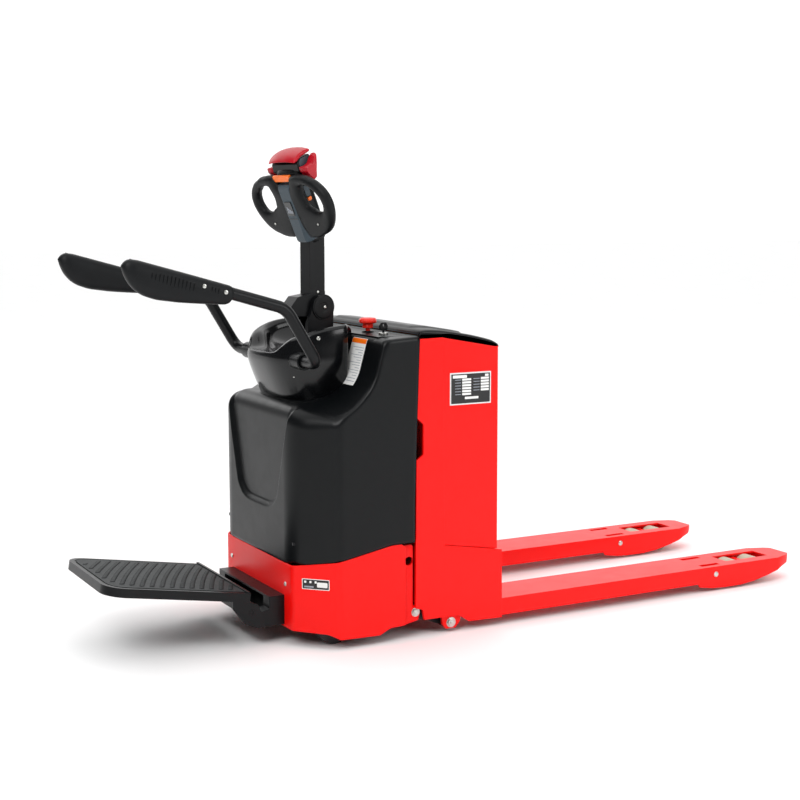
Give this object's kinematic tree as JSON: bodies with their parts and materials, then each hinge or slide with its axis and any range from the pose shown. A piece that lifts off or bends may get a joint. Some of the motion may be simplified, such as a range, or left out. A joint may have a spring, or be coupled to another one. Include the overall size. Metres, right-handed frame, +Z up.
{
  "type": "electric pallet truck",
  "caption": "Ride-on electric pallet truck with lifting forks, steered drive wheel, tilting tiller, folding platform and side arms.",
  "frame": {"origin": "middle of the overall box, on the floor", "axes": "+X towards the fork tips, +Y to the left side, +Z up"},
  "size_m": [2.4006, 0.704, 1.4483],
  "materials": {
    "red_paint": "gloss",
    "black_paint": "satin",
    "cover_plastic": "satin",
    "cowl_plastic": "gloss",
    "zinc": "satin",
    "cast": "matte",
    "grip_rubber": "matte",
    "mat_rubber": "matte",
    "drive_tyre": "matte",
    "load_tyre": "satin",
    "caster_tyre": "matte",
    "head_grey": "satin",
    "crimson": "gloss",
    "orange": "gloss",
    "stop_red": "gloss",
    "display": "gloss",
    "battery_case": "matte",
    "alloy": "satin",
    "plate_metal": "satin"
  },
  "bodies": {
    "chassis": {"chassis_skirt": "red_paint", "chassis_frame": "black_paint", "lift_mast": "black_paint", "front_cover": "cover_plastic", "cowl": "cowl_plastic", "top_panel": "cover_plastic", "cover_screws": "zinc", "platform_bracket": "black_paint", "platform_pin": "zinc", "pump_unit": "cast", "lift_cylinder": "zinc", "motor_controller": "alloy", "steering_bearing": "zinc", "link_pins": "zinc", "emergency_stop_base": "cover_plastic", "key_switch": "zinc", "arm_sockets": "cover_plastic"},
    "steering": {"drive_gearbox": "cast", "drive_motor": "cast", "steering_column": "black_paint", "tiller_pedestal": "black_paint"},
    "drive_wheel": {"drive_wheel_hub": "cast", "drive_tyre": "drive_tyre"},
    "tiller": {"tiller_arm": "black_paint", "tiller_head": "head_grey", "handle_loops": "cover_plastic", "head_display": "display"},
    "throttle": {"throttle_wings": "crimson"},
    "belly": {"belly_switch": "crimson"},
    "lift_switch": {"lift_rocker": "orange"},
    "horn": {"horn_button": "orange"},
    "emergency_stop": {"emergency_stop_button": "stop_red"},
    "ignition_key": {"key": "cover_plastic"},
    "platform": {"platform_tray": "black_paint", "platform_mat": "mat_rubber"},
    "arm_left": {"arm_tube_left": "black_paint", "arm_grip_left": "grip_rubber"},
    "arm_right": {"arm_tube_right": "black_paint", "arm_grip_right": "grip_rubber"},
    "caster_left": {"caster_fork_left": "zinc"},
    "caster_right": {"caster_fork_right": "zinc"},
    "caster_roller_left": {"caster_wheel_left": "caster_tyre"},
    "caster_roller_right": {"caster_wheel_right": "caster_tyre"},
    "carriage": {"carriage_plates": "red_paint", "battery_box": "red_paint", "battery": "battery_case", "rating_plate": "plate_metal", "fork_left": "red_paint", "fork_right": "red_paint", "lift_rod": "zinc", "guide_rollers": "zinc"},
    "lid": {"battery_lid": "cover_plastic"},
    "rocker_shaft": {"rockers": "black_paint"},
    "rods": {"push_rods": "black_paint"},
    "levers": {"load_levers": "red_paint"},
    "bogie_pair": {"bogies": "red_paint"},
    "load_roller_rear_left": {"load_wheel_rear_left": "load_tyre"},
    "load_roller_rear_right": {"load_wheel_rear_right": "load_tyre"},
    "load_roller_front_left": {"load_wheel_front_left": "load_tyre"},
    "load_roller_front_right": {"load_wheel_front_right": "load_tyre"}
  },
  "joints": [
    {"name": "fork_lift", "type": "slide", "parent": "chassis", "child": "carriage", "axis": [0, 0, 1], "range_m": [0, 0.12]},
    {"name": "steer", "type": "hinge", "parent": "chassis", "child": "steering", "pos_m": [-0.4597, 0, 0.115], "axis": [0, 0, 1], "range_deg": [-98, 82]},
    {"name": "drive_spin", "type": "hinge", "parent": "steering", "child": "drive_wheel", "pos_m": [-0.4597, 0, 0.115], "axis": [-0.1392, 0.9903, 0], "continuous": true},
    {"name": "tiller_tilt", "type": "hinge", "parent": "steering", "child": "tiller", "pos_m": [-0.4597, 0, 0.972], "axis": [-0.1392, 0.9903, 0], "range_deg": [-65, 0], "stiffness_Nm_per_rad": 18, "springref_deg": 34.38},
    {"name": "throttle_turn", "type": "hinge", "parent": "tiller", "child": "throttle", "pos_m": [-0.54282, -0.01168, 1.37304], "axis": [-0.1392, 0.9903, 0], "range_deg": [-30, 30], "stiffness_Nm_per_rad": 1.2},
    {"name": "belly_press", "type": "slide", "parent": "tiller", "child": "belly", "axis": [0.8989, 0.1263, 0.4195], "range_m": [0, 0.008], "stiffness_N_per_m": 900, "springref_m": -0.004},
    {"name": "lift_select", "type": "hinge", "parent": "tiller", "child": "lift_switch", "pos_m": [-0.52378, -0.00901, 1.31473], "axis": [-0.1392, 0.9903, 0], "range_deg": [-10, 10], "stiffness_Nm_per_rad": 0.4},
    {"name": "horn_press", "type": "slide", "parent": "tiller", "child": "horn", "axis": [0.8989, 0.1263, 0.4195], "range_m": [0, 0.003], "stiffness_N_per_m": 700, "springref_m": -0.003},
    {"name": "emergency_stop_press", "type": "slide", "parent": "chassis", "child": "emergency_stop", "axis": [0, 0, 1], "range_m": [-0.006, 0]},
    {"name": "key_turn", "type": "hinge", "parent": "chassis", "child": "ignition_key", "pos_m": [-0.3457, -0.225, 0.9], "axis": [0, 0, 1], "range_deg": [0, 90]},
    {"name": "platform_fold", "type": "hinge", "parent": "chassis", "child": "platform", "pos_m": [-0.7687, 0, 0.108], "axis": [0, 1, 0], "range_deg": [0, 81]},
    {"name": "arm_left_fold", "type": "hinge", "parent": "chassis", "child": "arm_left", "pos_m": [-0.5947, 0.2, 0.828], "axis": [0, 1, 0], "range_deg": [0, 60]},
    {"name": "arm_right_fold", "type": "hinge", "parent": "chassis", "child": "arm_right", "pos_m": [-0.5947, -0.2, 0.828], "axis": [0, 1, 0], "range_deg": [0, 60]},
    {"name": "caster_swivel_left", "type": "hinge", "parent": "chassis", "child": "caster_left", "pos_m": [-0.5097, 0.26, 0.154], "axis": [0, 0, 1], "continuous": true},
    {"name": "caster_spin_left", "type": "hinge", "parent": "caster_left", "child": "caster_roller_left", "pos_m": [-0.5357, 0.26, 0.05], "axis": [0, 1, 0], "continuous": true},
    {"name": "caster_swivel_right", "type": "hinge", "parent": "chassis", "child": "caster_right", "pos_m": [-0.5097, -0.26, 0.154], "axis": [0, 0, 1], "continuous": true},
    {"name": "caster_spin_right", "type": "hinge", "parent": "caster_right", "child": "caster_roller_right", "pos_m": [-0.5357, -0.26, 0.05], "axis": [0, 1, 0], "continuous": true},
    {"name": "lid_open", "type": "hinge", "parent": "carriage", "child": "lid", "pos_m": [-0.0137, 0, 0.866], "axis": [0, 1, 0], "range_deg": [0, 80]},
    {"name": "rocker_turn", "type": "hinge", "parent": "carriage", "child": "rocker_shaft", "pos_m": [-0.1757, 0, 0.031], "axis": [0, 1, 0], "range_deg": [-52.1, 0]},
    {"name": "rod_pull", "type": "slide", "parent": "carriage", "child": "rods", "axis": [1, 0, 0], "range_m": [-0.0196, 0]},
    {"name": "load_lever_turn", "type": "hinge", "parent": "carriage", "child": "levers", "pos_m": [0.8443, 0, 0.058], "axis": [0, 1, 0], "range_deg": [0, 47.9]},
    {"name": "bogie_level", "type": "hinge", "parent": "levers", "child": "bogie_pair", "pos_m": [1.01435, 0, 0.04], "axis": [0, 1, 0], "range_deg": [-47.9, 0]},
    {"name": "load_spin_rear_left", "type": "hinge", "parent": "bogie_pair", "child": "load_roller_rear_left", "pos_m": [0.96835, 0.2625, 0.04], "axis": [0, 1, 0], "continuous": true},
    {"name": "load_spin_rear_right", "type": "hinge", "parent": "bogie_pair", "child": "load_roller_rear_right", "pos_m": [0.96835, -0.2625, 0.04], "axis": [0, 1, 0], "continuous": true},
    {"name": "load_spin_front_left", "type": "hinge", "parent": "bogie_pair", "child": "load_roller_front_left", "pos_m": [1.06035, 0.2625, 0.04], "axis": [0, 1, 0], "continuous": true},
    {"name": "load_spin_front_right", "type": "hinge", "parent": "bogie_pair", "child": "load_roller_front_right", "pos_m": [1.06035, -0.2625, 0.04], "axis": [0, 1, 0], "continuous": true}
  ],
  "couplings": [
    {"joint": "rocker_turn", "follows": "fork_lift", "rad_per_m": -7.5631},
    {"joint": "rod_pull", "follows": "fork_lift", "ratio": -0.1622},
    {"joint": "load_lever_turn", "follows": "fork_lift", "rad_per_m": 6.9522},
    {"joint": "bogie_level", "follows": "fork_lift", "rad_per_m": -6.9522}
  ]
}
